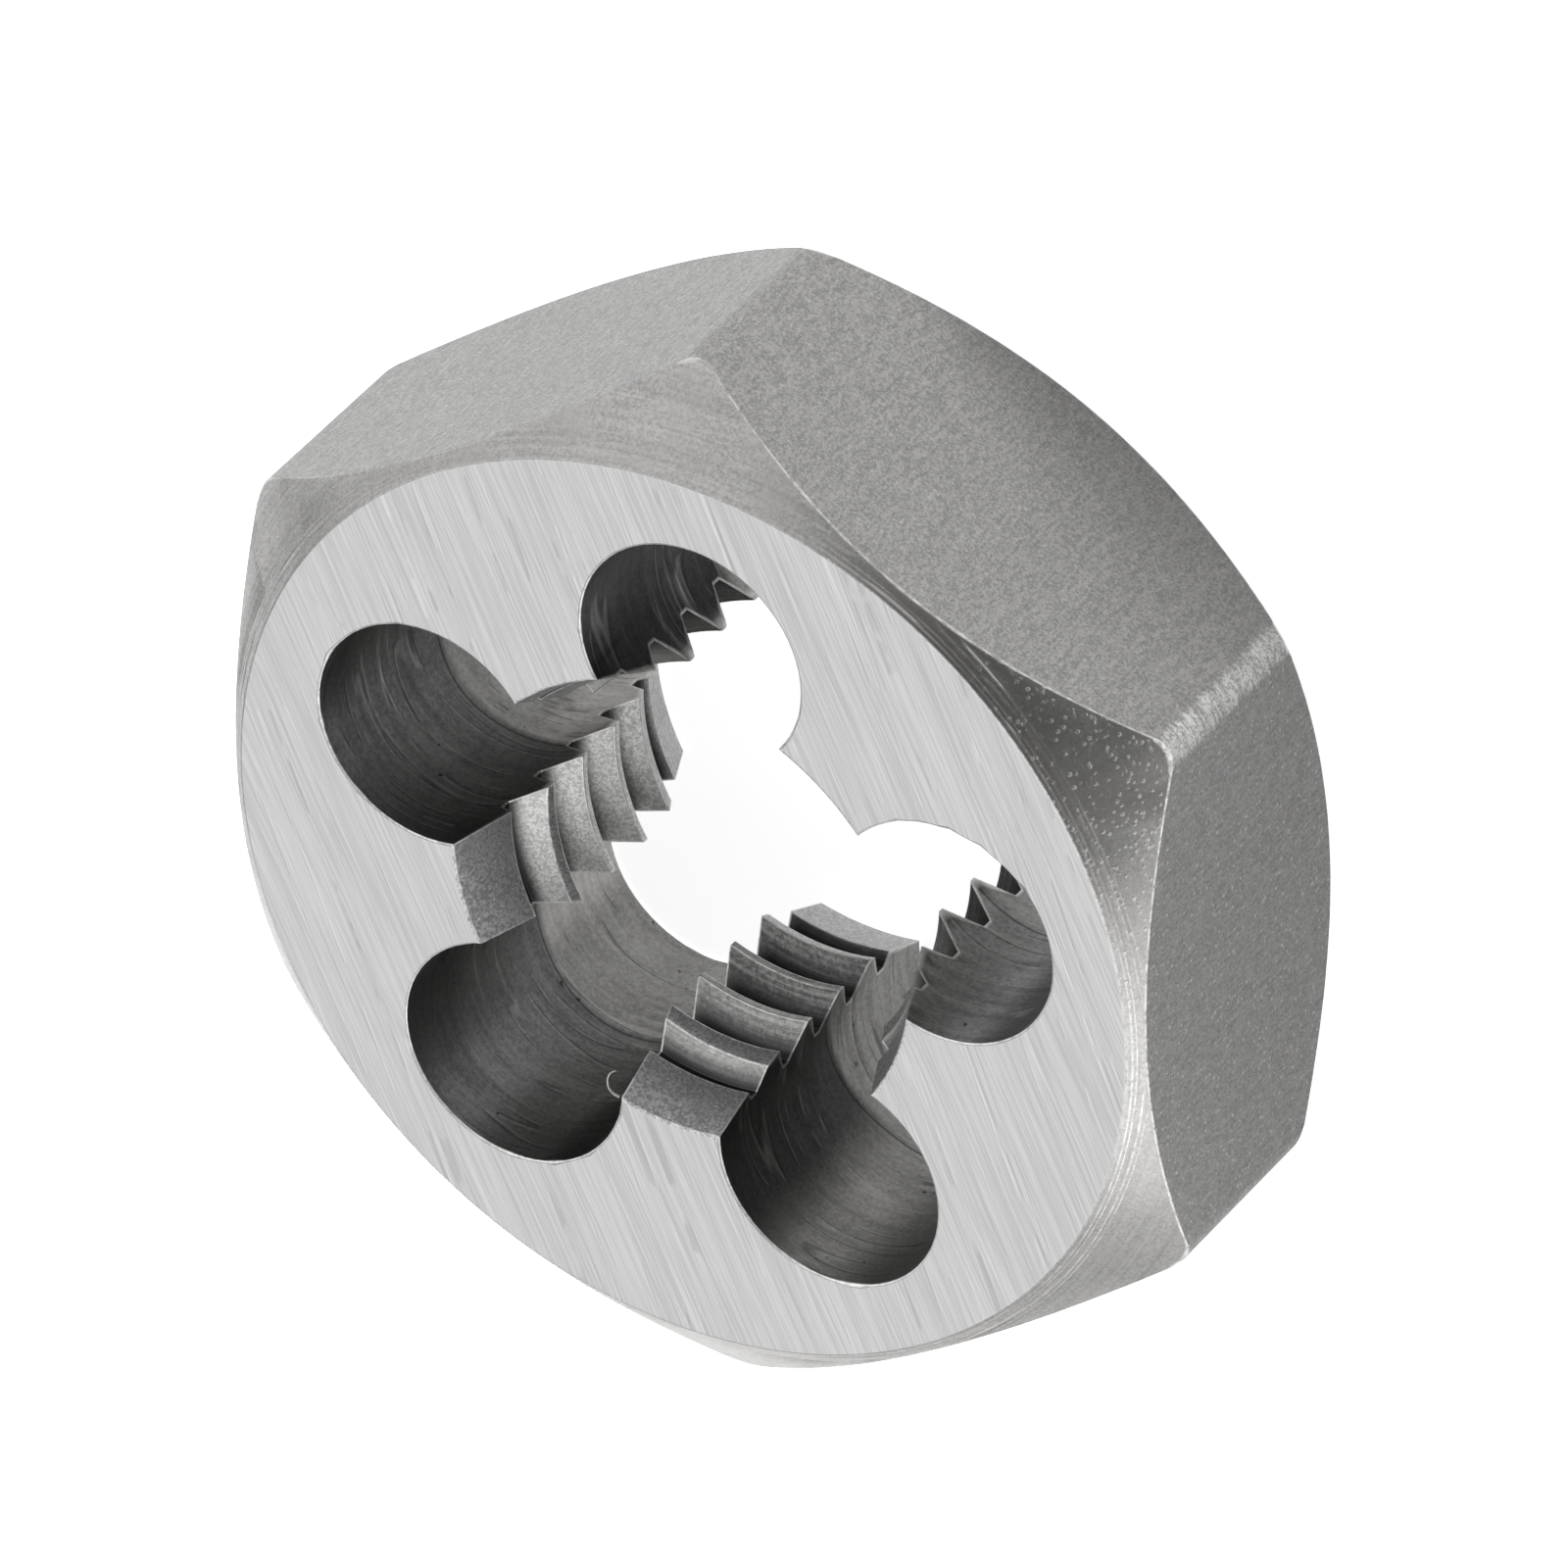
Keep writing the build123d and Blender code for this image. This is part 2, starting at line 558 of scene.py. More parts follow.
def feed(tree, socket, value):
    if isinstance(value, (int, float, tuple)):
        socket.default_value = value
    else:
        link(tree, value, socket)


def node(tree, kind, **values):
    made = tree.nodes.new(kind)
    for name, value in values.items():
        setattr(made, name, value)
    return made


def setInputs(made, values):
    for name, value in values.items():
        made.inputs[name].default_value = value


def socketKind(label):
    if label == "Vector":
        return "NodeSocketVector"
    return "NodeSocketColor" if label.endswith("Color") else "NodeSocketFloat"


def newGroup(name, inputs, outputs):
    group = bpy.data.node_groups.new(name, "ShaderNodeTree")
    for label, value in inputs.items():
        socket = group.interface.new_socket(label, in_out="INPUT", socket_type=socketKind(label))
        if value is not None:
            socket.default_value = value
    for label in outputs:
        group.interface.new_socket(label, in_out="OUTPUT", socket_type=socketKind(label))
    return group, group.nodes.new("NodeGroupInput").outputs, group.nodes.new("NodeGroupOutput").inputs


def mathNode(tree, operation, first, second=0.0, clamp=False):
    made = node(tree, "ShaderNodeMath", operation=operation, use_clamp=clamp)
    feed(tree, made.inputs[0], first)
    feed(tree, made.inputs[1], second)
    return made.outputs[0]


def plus(tree, first, second):
    return mathNode(tree, "ADD", first, second)


def minus(tree, first, second, clamp=False):
    return mathNode(tree, "SUBTRACT", first, second, clamp)


def times(tree, first, second, clamp=False):
    return mathNode(tree, "MULTIPLY", first, second, clamp)


def blend(tree, first, second, share):
    # The first value, moved by a share towards the second
    return plus(tree, first, times(tree, minus(tree, second, first), share))


def vectorMath(tree, operation, first, second=None, scale=None):
    made = node(tree, "ShaderNodeVectorMath", operation=operation)
    link(tree, first, made.inputs[0])
    if second is not None:
        feed(tree, made.inputs[1], second)
    if scale is not None:
        feed(tree, made.inputs["Scale"], scale)
    return made.outputs["Value" if operation == "DOT_PRODUCT" else "Vector"]


def splitVector(tree, vector):
    made = node(tree, "ShaderNodeSeparateXYZ")
    link(tree, vector, made.inputs[0])
    return made.outputs


def joinVector(tree, *parts):
    made = node(tree, "ShaderNodeCombineXYZ")
    for socket, part in zip(made.inputs, parts):
        link(tree, part, socket)
    return made.outputs[0]


def splitColour(tree, colour):
    made = node(tree, "ShaderNodeSeparateColor")
    link(tree, colour, made.inputs[0])
    return made.outputs


def noiseNode(tree, vector, scale, detail, roughness):
    made = node(tree, "ShaderNodeTexNoise")
    link(tree, vector, made.inputs["Vector"])
    feed(tree, made.inputs["Scale"], scale)
    setInputs(made, {"Detail": detail, "Roughness": roughness})
    return made.outputs["Fac"]


def cellsNode(tree, vector, scale):
    made = node(tree, "ShaderNodeTexVoronoi", feature="F1")
    link(tree, vector, made.inputs["Vector"])
    link(tree, scale, made.inputs["Scale"])
    return made.outputs


def rangeNode(tree, value, low, high, toLow=0.0, toHigh=1.0):
    made = node(tree, "ShaderNodeMapRange", interpolation_type="SMOOTHSTEP")
    link(tree, value, made.inputs["Value"])
    setInputs(made, {"From Min": low, "From Max": high, "To Min": toLow, "To Max": toHigh})
    return made.outputs["Result"]


def mixColour(tree, factor, first, second):
    made = node(tree, "ShaderNodeMix", data_type="RGBA")
    for place, value in ((0, factor), (6, first), (7, second)):
        feed(tree, made.inputs[place], value)
    return made.outputs[2]


# Effects that several finishes share

def makeBlastedGrain():
    # Matt grain of a blasted surface, with brighter and darker facets: a tone and a height, both near a half
    group, given, results = newGroup(
        "blastedGrain",
        {"Vector": None, "Grain": 14.0, "Blotch": 0.7, "Blotch Share": 0.3},
        ("Tone", "Height"),
    )
    facets = splitColour(group, cellsNode(group, given["Vector"], given["Grain"])["Color"])
    fine = noiseNode(group, given["Vector"], given["Grain"], 2.0, 0.7)
    grain = blend(group, facets[0], fine, 0.6)
    broad = noiseNode(group, given["Vector"], given["Blotch"], 3.0, 0.55)
    link(group, blend(group, grain, broad, given["Blotch Share"]), results["Tone"])
    link(group, grain, results["Height"])
    return group


def stretched(group, given, shift=0.0):
    # The vector of a group, drawn out along X and packed closer across it
    x, y, z = splitVector(group, given["Vector"])
    across = times(group, plus(group, y, shift), given["Across"])
    return joinVector(group, times(group, x, given["Along"]), across, times(group, z, given["Along"]))


def makeToolLines():
    # Lines that a tool left along X of the vector: a tone and a height
    group, given, results = newGroup(
        "toolLines",
        {"Vector": None, "Along": 0.2, "Across": 8.0, "Waver": 0.1, "Band Share": 0.25},
        ("Tone", "Height"),
    )
    sway = noiseNode(group, given["Vector"], 0.25, 1.0, 0.5)
    vector = stretched(group, given, times(group, sway, given["Waver"]))
    fine = noiseNode(group, vector, 1.0, 5.0, 0.68)
    broad = noiseNode(group, vector, 0.17, 2.0, 0.5)
    link(group, blend(group, fine, broad, given["Band Share"]), results["Tone"])
    link(group, fine, results["Height"])
    return group


def makeScratches():
    # Thin scratches roughly along X of the vector, in patches: a mask for the cuts and one for their ridges
    group, given, results = newGroup(
        "scratches",
        {"Vector": None, "Along": 0.1, "Across": 1.0, "Width": 0.02, "Share": 0.5},
        ("Cut", "Ridge"),
    )
    level = noiseNode(group, stretched(group, given), 1.0, 1.0, 0.5)
    patches = plus(group, noiseNode(group, given["Vector"], 0.6, 2.0, 0.6), given["Share"])
    kept = rangeNode(group, patches, 0.97, 1.05)
    for label, widthsBeside in (("Cut", 0.0), ("Ridge", 1.5)):
        centre = plus(group, times(group, given["Width"], widthsBeside), 0.5)
        away = mathNode(group, "ABSOLUTE", minus(group, level, centre))
        line = minus(group, 1.0, mathNode(group, "DIVIDE", away, given["Width"]), True)
        link(group, times(group, line, kept), results[label])
    return group


def makeSpecks():
    # Scattered specks with uneven outlines: a mask that is strongest in the middle of each
    group, given, results = newGroup(
        "specks", {"Vector": None, "Spacing": 3.0, "Size": 0.2, "Share": 0.5}, ("Mask",)
    )
    wobble = node(group, "ShaderNodeTexNoise")
    link(group, given["Vector"], wobble.inputs["Vector"])
    link(group, times(group, given["Spacing"], 2.5), wobble.inputs["Scale"])
    reach = mathNode(group, "DIVIDE", 0.35, given["Spacing"])
    uneven = vectorMath(group, "SCALE", wobble.outputs["Color"], scale=reach)
    cells = cellsNode(group, vectorMath(group, "ADD", given["Vector"], uneven), given["Spacing"])
    away = mathNode(group, "DIVIDE", cells["Distance"], given["Size"])
    near = times(group, minus(group, 1.0, away), 2.5, True)
    chance = splitColour(group, cells["Color"])
    kept = mathNode(group, "LESS_THAN", chance[0], given["Share"])
    strength = times(group, kept, plus(group, times(group, chance[1], 0.75), 0.25))
    link(group, times(group, near, strength), results["Mask"])
    return group


def makeEdgeWearAndHighlight():
    # Bright line where an edge has been rubbed, and the painted highlight along the lands' sharp edges,
    # broken up along its length
    group, given, results = newGroup(
        "edgeWearAndHighlight",
        {"Vector": None, "Edge": 0.0, "Breaks": 0.75, "Color": None, "Worn And Highlight Color": (0.8, 0.8, 0.8, 1)},
        ("Color", "Mask"),
    )
    patches = rangeNode(group, noiseNode(group, given["Vector"], 4.0, 4.0, 0.7), 0.38, 0.6, 1.0, 0.0)
    whole = minus(group, 1.0, times(group, patches, given["Breaks"]))
    mask = times(group, given["Edge"], whole, True)
    link(group, mask, results["Mask"])
    link(group, mixColour(group, mask, given["Color"], given["Worn And Highlight Color"]), results["Color"])
    return group


effects = {
    "blastedGrain": makeBlastedGrain(),
    "toolLines": makeToolLines(),
    "scratches": makeScratches(),
    "specks": makeSpecks(),
    "edgeWearAndHighlight": makeEdgeWearAndHighlight(),
}
print("scene: effects are", ", ".join(effects))


def useEffect(tree, name, vector, values):
    made = node(tree, "ShaderNodeGroup", node_tree=effects[name])
    link(tree, vector, made.inputs["Vector"])
    for label, value in values.items():
        feed(tree, made.inputs[label], value)
    return made.outputs


# What every finish is made with

def newMaterial(name, values):
    # A material with its shader, which is given these values
    material = bpy.data.materials.new(name)
    material.use_nodes = True
    shader = material.node_tree.nodes["Principled BSDF"]
    setInputs(shader, values)
    return material, material.node_tree, shader


def newFinish(name):
    # Bare steel with its shader, and the object's coordinates in millimetres
    material, tree, shader = newMaterial(name, {"Metallic": 1.0})
    coordinates = node(tree, "ShaderNodeTexCoord").outputs["Object"]
    return material, tree, shader, vectorMath(tree, "SCALE", coordinates, scale=1 / mm)


def turned(tree, vector, angles):
    made = node(tree, "ShaderNodeMapping")
    link(tree, vector, made.inputs["Vector"])
    made.inputs["Rotation"].default_value = [radians(angle) for angle in angles]
    return made.outputs[0]


def attributeValue(tree, name):
    return node(tree, "ShaderNodeAttribute", attribute_name=name).outputs["Fac"]


def alongDirection(tree, vector, turn):
    # How far a point lies from the thread's axis towards one direction
    return vectorMath(tree, "DOT_PRODUCT", vector, (cos(radians(turn)), sin(radians(turn)), 0.0))


def bearing(tree, vector, turn):
    # 1 in one direction from the thread's axis, falling with the cosine of the angle away from it
    level = vectorMath(tree, "MULTIPLY", vector, (1.0, 1.0, 0.0))
    return alongDirection(tree, vectorMath(tree, "NORMALIZE", level), turn)


def aroundAxis(tree, vector, seam):
    # Millimetres round the thread's root, distance from the axis, and height; the first ends at the seam
    x, y, z = splitVector(tree, turned(tree, vector, (0, 0, 180 - seam)))
    distance = mathNode(tree, "SQRT", plus(tree, times(tree, x, x), times(tree, y, y)))
    roundRoot = times(tree, mathNode(tree, "ARCTAN2", y, x), rootRadius)
    return joinVector(tree, roundRoot, distance, z), distance


def cover(tree, mask, share, colour, other):
    return mixColour(tree, times(tree, mask, share), colour, other)


def paintLightAndShade(tree, colour, tone, where, shade):
    # A patch of painted shade or painted light: where it starts, where it is whole, its dark colour and its
    # light one
    start, whole, dark, light = shade
    return mixColour(tree, rangeNode(tree, where, start, whole), colour, mixColour(tree, tone, dark, light))


def glintsBySide(tree, vector, steel):
    # Glints that grow stronger towards one side of the die
    glints = useEffect(tree, "specks", vector, steel["glints"])
    turn, start, whole = steel["glintSide"]
    towards = alongDirection(tree, vector, turn)
    return times(tree, glints["Mask"], rangeNode(tree, towards, start, whole, *steel["glintShares"]))


def wearAndHighlightEdges(tree, vector, colour, steel):
    values = {
        "Edge": attributeValue(tree, "edgeWearAndHighlight"),
        "Color": colour,
        "Breaks": steel["breaks"],
        "Worn And Highlight Color": steel["wornAndHighlight"],
    }
    return useEffect(tree, "edgeWearAndHighlight", vector, values)["Color"]


def setColour(tree, shader, steel, colour, tone):
    # The lighter a spot is, the smoother
    link(tree, colour, shader.inputs["Base Color"])
    smooth, matt = steel["roughness"]
    link(tree, rangeNode(tree, tone, 0.3, 0.7, matt, smooth), shader.inputs["Roughness"])


def makeFinish(name, steel, paint):
    # The paint function works out each spot's colour, and its tone and height, which run from 0 to about 1
    material, tree, shader, vector = newFinish(name + "Steel")
    colour, tone, height = paint(tree, vector, steel)
    setColour(tree, shader, steel, wearAndHighlightEdges(tree, vector, colour, steel), tone)
    bump = node(tree, "ShaderNodeBump")
    setInputs(bump, {"Strength": 1.0, "Distance": steel["depth"] * mm})
    link(tree, height, bump.inputs["Height"])
    link(tree, bump.outputs[0], shader.inputs["Normal"])
    return material


# Ground front and back faces

groundSteel = {
    "dark": (0.535, 0.535, 0.54, 1),
    "light": (0.72, 0.72, 0.725, 1),
    "cut": (0.34, 0.34, 0.34, 1),
    "ridge": (0.88, 0.88, 0.88, 1),
    "cutShare": 0.4,
    "ridgeShare": 0.45,
    "wornAndHighlight": (0.95, 0.95, 0.94, 1),
    "breaks": 0.3,
    "tones": (0.3, 0.7),
    "roughness": (0.32, 0.44),
    "depth": 0.0014,
    "grindingAngle": -143.2,
    "scratchAngle": -139.2,
    "lines": {"Along": 0.25, "Across": 20.0, "Waver": 0.12, "Band Share": 0.12},
    "scratches": {"Along": 0.012, "Across": 2.6, "Width": 0.02, "Share": 0.5},
}


def paintGroundFace(tree, vector, steel):
    lengthwise = turned(tree, vector, (0, 0, steel["grindingAngle"]))
    lines = useEffect(tree, "toolLines", lengthwise, steel["lines"])
    tone = rangeNode(tree, lines["Tone"], *steel["tones"])
    colour = mixColour(tree, tone, steel["dark"], steel["light"])
    skewed = turned(tree, vector, (0, 0, steel["scratchAngle"]))
    scratches = useEffect(tree, "scratches", skewed, steel["scratches"])
    colour = cover(tree, scratches["Cut"], steel["cutShare"], colour, steel["cut"])
    colour = cover(tree, scratches["Ridge"], steel["ridgeShare"], colour, steel["ridge"])
    return colour, lines["Tone"], lines["Height"]


# Flats of the drawn hexagon bar, blasted matt

flatSteel = {
    "dark": (0.18, 0.178, 0.175, 1),
    "light": (0.295, 0.292, 0.286, 1),
    "glint": (0.60, 0.59, 0.58, 1),
    "scuffed": (0.58, 0.575, 0.57, 1),
    "wornAndHighlight": (0.86, 0.85, 0.83, 1),
    "breaks": 0.75,
    "tones": (0.34, 0.66),
    "roughness": (0.36, 0.48),
    "depth": 0.003,
    "dashShare": 0.5,
    "dashDepth": 0.8,  # as a share of the grain's
    "grain": {"Grain": 19.0, "Blotch": 0.45, "Blotch Share": 0.06},
    "dashes": {"Along": 2.2, "Across": 20.0, "Waver": 0.4, "Band Share": 0.1},  # across at the thread's root
    "glints": {"Spacing": 6.5, "Size": 0.34, "Share": 0.45},
    "glintSide": (-150.0, 12.2, 12.6),  # direction, and the stretch along it in which the glints grow in
    "glintShares": (0.2, 0.6),
    "strokes": {"Along": 1.4, "Across": 10.0, "Waver": 0.5, "Band Share": 0.1},
    "strokeContrast": 2.5,
    "scuffFrom": (0.45, 1.15),
    "scuffOnGrain": (0.35, 0.6, 0.35, 1.0),  # the grain's tones, and the shares of the scuff that they keep
}


def paintDrawnFlat(tree, vector, steel):
    grain = useEffect(tree, "blastedGrain", vector, steel["grain"])
    roundBar, _ = aroundAxis(tree, vector, 180.0)  # the seam falls on a corner of the hexagon
    alongBar = turned(tree, roundBar, (90, 0, 90))  # drawn along Z, which becomes the first coordinate
    dashes = useEffect(tree, "toolLines", alongBar, steel["dashes"])
    both = blend(tree, grain["Tone"], dashes["Tone"], steel["dashShare"])
    colour = mixColour(tree, rangeNode(tree, both, *steel["tones"]), steel["dark"], steel["light"])
    colour = mixColour(tree, glintsBySide(tree, vector, steel), colour, steel["glint"])
    strokes = useEffect(tree, "toolLines", turned(tree, vector, (90, 0, 0)), steel["strokes"])
    unevenness = times(tree, minus(tree, strokes["Tone"], 0.5), steel["strokeContrast"])
    ragged = rangeNode(tree, plus(tree, attributeValue(tree, "scuff"), unevenness), *steel["scuffFrom"])
    onGrain = rangeNode(tree, grain["Tone"], *steel["scuffOnGrain"])
    colour = cover(tree, ragged, onGrain, colour, steel["scuffed"])
    height = plus(tree, grain["Height"], times(tree, dashes["Height"], steel["dashDepth"]))
    return colour, both, height


# Turned chamfers

chamferSteel = {
    "dark": (0.30, 0.297, 0.292, 1),
    "light": (0.47, 0.464, 0.455, 1),
    "warm": (0.40, 0.382, 0.365, 1),
    "warmShare": 0.5,
    "warmPatches": (0.5, 3.0, 0.6),  # scale, detail and roughness
    "warmFrom": (0.45, 0.65),
    "glint": (0.80, 0.79, 0.78, 1),
    "wornAndHighlight": (0.90, 0.89, 0.87, 1),
    "breaks": 0.75,
    "tones": (0.34, 0.66),
    "roughness": (0.28, 0.38),
    "depth": 0.0025,
    "ringShare": 0.5,
    "ringDepth": 0.6,  # as a share of the grain's, like the glints'
    "glintDepth": 5.0,
    "grain": {"Grain": 16.0, "Blotch": 0.6, "Blotch Share": 0.25},
    "rings": {"Along": 0.12, "Across": 15.0, "Waver": 0.0},
    "glints": {"Spacing": 6.5, "Size": 0.36, "Share": 0.75},
    "glintSide": (-128.0, 10.5, 12.3),  # direction, and the stretch along it in which the glints grow in
    "glintShares": (0.05, 0.5),
    "paintedLightAndShade": [  # painted light towards -153 and painted shade towards 12: direction, and the cosines of the angle away from it at which each starts and is whole
        (-153.0, (0.90, 0.978, (0.42, 0.415, 0.407, 1), (0.58, 0.572, 0.56, 1))),
        (12.0, (0.866, 0.966, (0.24, 0.237, 0.233, 1), (0.375, 0.37, 0.363, 1))),
    ],
}


def paintTurnedChamfer(tree, vector, steel):
    grain = useEffect(tree, "blastedGrain", vector, steel["grain"])
    upright = turned(tree, vector, (90, 0, 0))  # height becomes the second coordinate, so the lines run round
    rings = useEffect(tree, "toolLines", upright, steel["rings"])
    both = blend(tree, grain["Tone"], rings["Tone"], steel["ringShare"])
    tone = rangeNode(tree, both, *steel["tones"])
    colour = mixColour(tree, tone, steel["dark"], steel["light"])
    warmth = rangeNode(tree, noiseNode(tree, vector, *steel["warmPatches"]), *steel["warmFrom"])
    colour = cover(tree, warmth, steel["warmShare"], colour, steel["warm"])
    # Painted light and painted shade by direction round the chamfer
    for turn, shade in steel["paintedLightAndShade"]:
        colour = paintLightAndShade(tree, colour, tone, bearing(tree, vector, turn), shade)
    glinting = glintsBySide(tree, vector, steel)
    colour = mixColour(tree, glinting, colour, steel["glint"])
    height = plus(tree, grain["Height"], times(tree, rings["Height"], steel["ringDepth"]))
    height = plus(tree, height, times(tree, glinting, steel["glintDepth"]))
    return colour, both, height


# Walls of the chip holes, dark partly from hardening and partly as painted shade of the hollows, and scored
# by the drill

wallSteel = {
    "dark": (0.095, 0.095, 0.094, 1),
    "light": (0.19, 0.189, 0.187, 1),
    # The lower part of each wall is painted lighter, as a reflection of the floor seen through the back
    # opening
    "deepReflectionDark": (0.24, 0.238, 0.233, 1),
    "deepReflectionLight": (0.42, 0.415, 0.405, 1),
    # A painted reflection, lighter and warmer, in the lower part of one hole
    "paintedReflectionDark": (0.43, 0.42, 0.405, 1),
    "paintedReflectionLight": (0.62, 0.605, 0.585, 1),
    "scored": (0.55, 0.545, 0.535, 1),
    "scoredShare": 0.5,
    "ridgeShare": 0.25,
    "pit": (0.02, 0.02, 0.02, 1),
    "cutShare": 0.5,
    "wornAndHighlight": (0.95, 0.94, 0.93, 1),
    "breaks": 0.35,
    "tones": (0.33, 0.68),
    "roughness": (0.36, 0.48),
    "depth": 0.005,
    "grainShare": 0.55,
    "pitDepth": 1.5,  # as a share of the scores'
    "scores": {"Along": 0.22, "Across": 3.6, "Waver": 0.6, "Band Share": 0.1},
    "scoreSlant": (86, 4, 0),  # upright would be (90, 0, 0), but a drill's scores run a little off level
    "grain": {"Grain": 12.0, "Blotch": 0.5, "Blotch Share": 0.5},
    "scratches": {"Along": 0.14, "Across": 1.3, "Width": 0.025, "Share": 0.5},
    "pits": {"Spacing": 1.7, "Size": 0.12, "Share": 0.3},
    "scoredPatches": (0.35, 2.0, 0.5),  # scale, detail and roughness of the noise that deep scores keep to
    "patchesFrom": (0.5, 0.6),
    "deepScoresFrom": (0.56, 0.66),
    "seamHeight": 5.8,  # height, before the drift, of a dark seam line, below which the wall is painted lighter as a reflection of the floor
    "driftNoise": (0.09, 1.0, 0.5),
    "drift": 3.0,
    "deepReflectionFade": 0.35,  # over what height below the seam the painted reflection sets in
    "seamWidth": 0.05,
    "seamShare": 0.8,
    "paintedReflectionSide": (7.0, 3.9, 4.7, 6.0, 7.0),  # direction, and where along it the painted reflection starts and ends
    "paintedLightAndShade": [  # painted shade in the holes towards -65 and the near part of 151, painted light in those towards -137 and 79 and the far part of 151: direction, and how far along it each starts and is whole
        (-65.0, (5.1, 5.4, (0.04, 0.04, 0.04, 1), (0.08, 0.08, 0.08, 1))),
        (-137.0, (5.1, 5.4, (0.18, 0.18, 0.178, 1), (0.36, 0.36, 0.357, 1))),
        (79.0, (5.1, 5.4, (0.13, 0.13, 0.129, 1), (0.26, 0.259, 0.257, 1))),
        (151.0, (5.1, 5.4, (0.058, 0.058, 0.057, 1), (0.116, 0.115, 0.114, 1))),
        (151.0, (7.8, 9.6, (0.21, 0.208, 0.204, 1), (0.37, 0.365, 0.355, 1))),
    ],
}


def paintDrilledWall(tree, vector, steel):
    upright = turned(tree, vector, steel["scoreSlant"])
    scores = useEffect(tree, "toolLines", upright, steel["scores"])
    grain = useEffect(tree, "blastedGrain", vector, steel["grain"])
    both = blend(tree, scores["Tone"], grain["Tone"], steel["grainShare"])
    tone = rangeNode(tree, both, *steel["tones"])
    colour = mixColour(tree, tone, steel["dark"], steel["light"])
    # Painted light and painted shade that differ from hole to hole
    for turn, shade in steel["paintedLightAndShade"]:
        colour = paintLightAndShade(tree, colour, tone, alongDirection(tree, vector, turn), shade)
    # Painted reflection in the lower part of the wall
    deepReflectionColour = mixColour(tree, tone, steel["deepReflectionDark"], steel["deepReflectionLight"])
    paintedReflectionColour = mixColour(tree, tone, steel["paintedReflectionDark"], steel["paintedReflectionLight"])
    turn, start, whole, fading, end = steel["paintedReflectionSide"]
    towards = alongDirection(tree, vector, turn)  # a painted reflection in one hole, beside the land
    reflectingPatch = rangeNode(tree, towards, start, whole)
    reflectingPatch = times(tree, reflectingPatch, rangeNode(tree, towards, fading, end, 1.0, 0.0))
    deepReflectionColour = mixColour(tree, reflectingPatch, deepReflectionColour, paintedReflectionColour)
    drift = times(tree, noiseNode(tree, vector, *steel["driftNoise"]), steel["drift"])
    z = plus(tree, splitVector(tree, vector)[2], drift)
    aboveSeam = minus(tree, z, steel["seamHeight"])
    above = rangeNode(tree, aboveSeam, -steel["deepReflectionFade"], 0.0)
    colour = mixColour(tree, above, deepReflectionColour, colour)
    seam = mathNode(tree, "DIVIDE", mathNode(tree, "ABSOLUTE", aboveSeam), steel["seamWidth"])
    colour = cover(tree, minus(tree, 1.0, seam, True), steel["seamShare"], colour, steel["pit"])
    patches = rangeNode(tree, noiseNode(tree, vector, *steel["scoredPatches"]), *steel["patchesFrom"])
    deepScores = times(tree, patches, rangeNode(tree, scores["Tone"], *steel["deepScoresFrom"]))
    colour = cover(tree, deepScores, steel["scoredShare"], colour, steel["scored"])
    scratches = useEffect(tree, "scratches", upright, steel["scratches"])
    colour = cover(tree, scratches["Cut"], steel["cutShare"], colour, steel["pit"])
    colour = cover(tree, scratches["Ridge"], steel["ridgeShare"], colour, steel["scored"])
    pits = useEffect(tree, "specks", vector, steel["pits"])["Mask"]
    colour = mixColour(tree, pits, colour, steel["pit"])
    return colour, both, minus(tree, scores["Height"], times(tree, pits, steel["pitDepth"]))


# Lead-in cones, matt and dark, the back one painted lighter as a reflection of the floor below the bore

coneSteel = {
    "dark": (0.27, 0.27, 0.272, 1),
    "light": (0.49, 0.49, 0.49, 1),
    # Painted reflection on the back cone
    "backReflectionDark": (0.50, 0.50, 0.50, 1),
    "backReflectionLight": (0.68, 0.68, 0.675, 1),
    "wornAndHighlight": (0.85, 0.84, 0.82, 1),
    "breaks": 0.75,
    "glintShare": 0.45,
    "backReflectionUpTo": (0.4, 0.6),  # shares of the thickness over which the painted reflection fades out
    "tones": (0.35, 0.68),
    "roughness": (0.42, 0.54),
    "depth": 0.0035,
    "grain": {"Grain": 16.0, "Blotch": 1.0, "Blotch Share": 0.2},
    "glints": {"Spacing": 5.5, "Size": 0.3, "Share": 0.35},
}


def paintLeadInCone(tree, vector, steel):
    grain = useEffect(tree, "blastedGrain", vector, steel["grain"])
    tone = rangeNode(tree, grain["Tone"], *steel["tones"])
    colour = mixColour(tree, tone, steel["dark"], steel["light"])
    # Painted reflection: the back cone is lighter where it mirrors the floor below the bore
    backReflectionColour = mixColour(tree, tone, steel["backReflectionDark"], steel["backReflectionLight"])
    level = times(tree, splitVector(tree, vector)[2], 1 / thickness)
    atBack = rangeNode(tree, level, *steel["backReflectionUpTo"], 1.0, 0.0)
    colour = mixColour(tree, atBack, colour, backReflectionColour)
    glints = useEffect(tree, "specks", vector, steel["glints"])
    colour = cover(tree, glints["Mask"], steel["glintShare"], colour, steel["wornAndHighlight"])
    return colour, grain["Tone"], grain["Height"]


# Cut thread: grainy flanks, bright crests, and roots darkened by a painted shadow

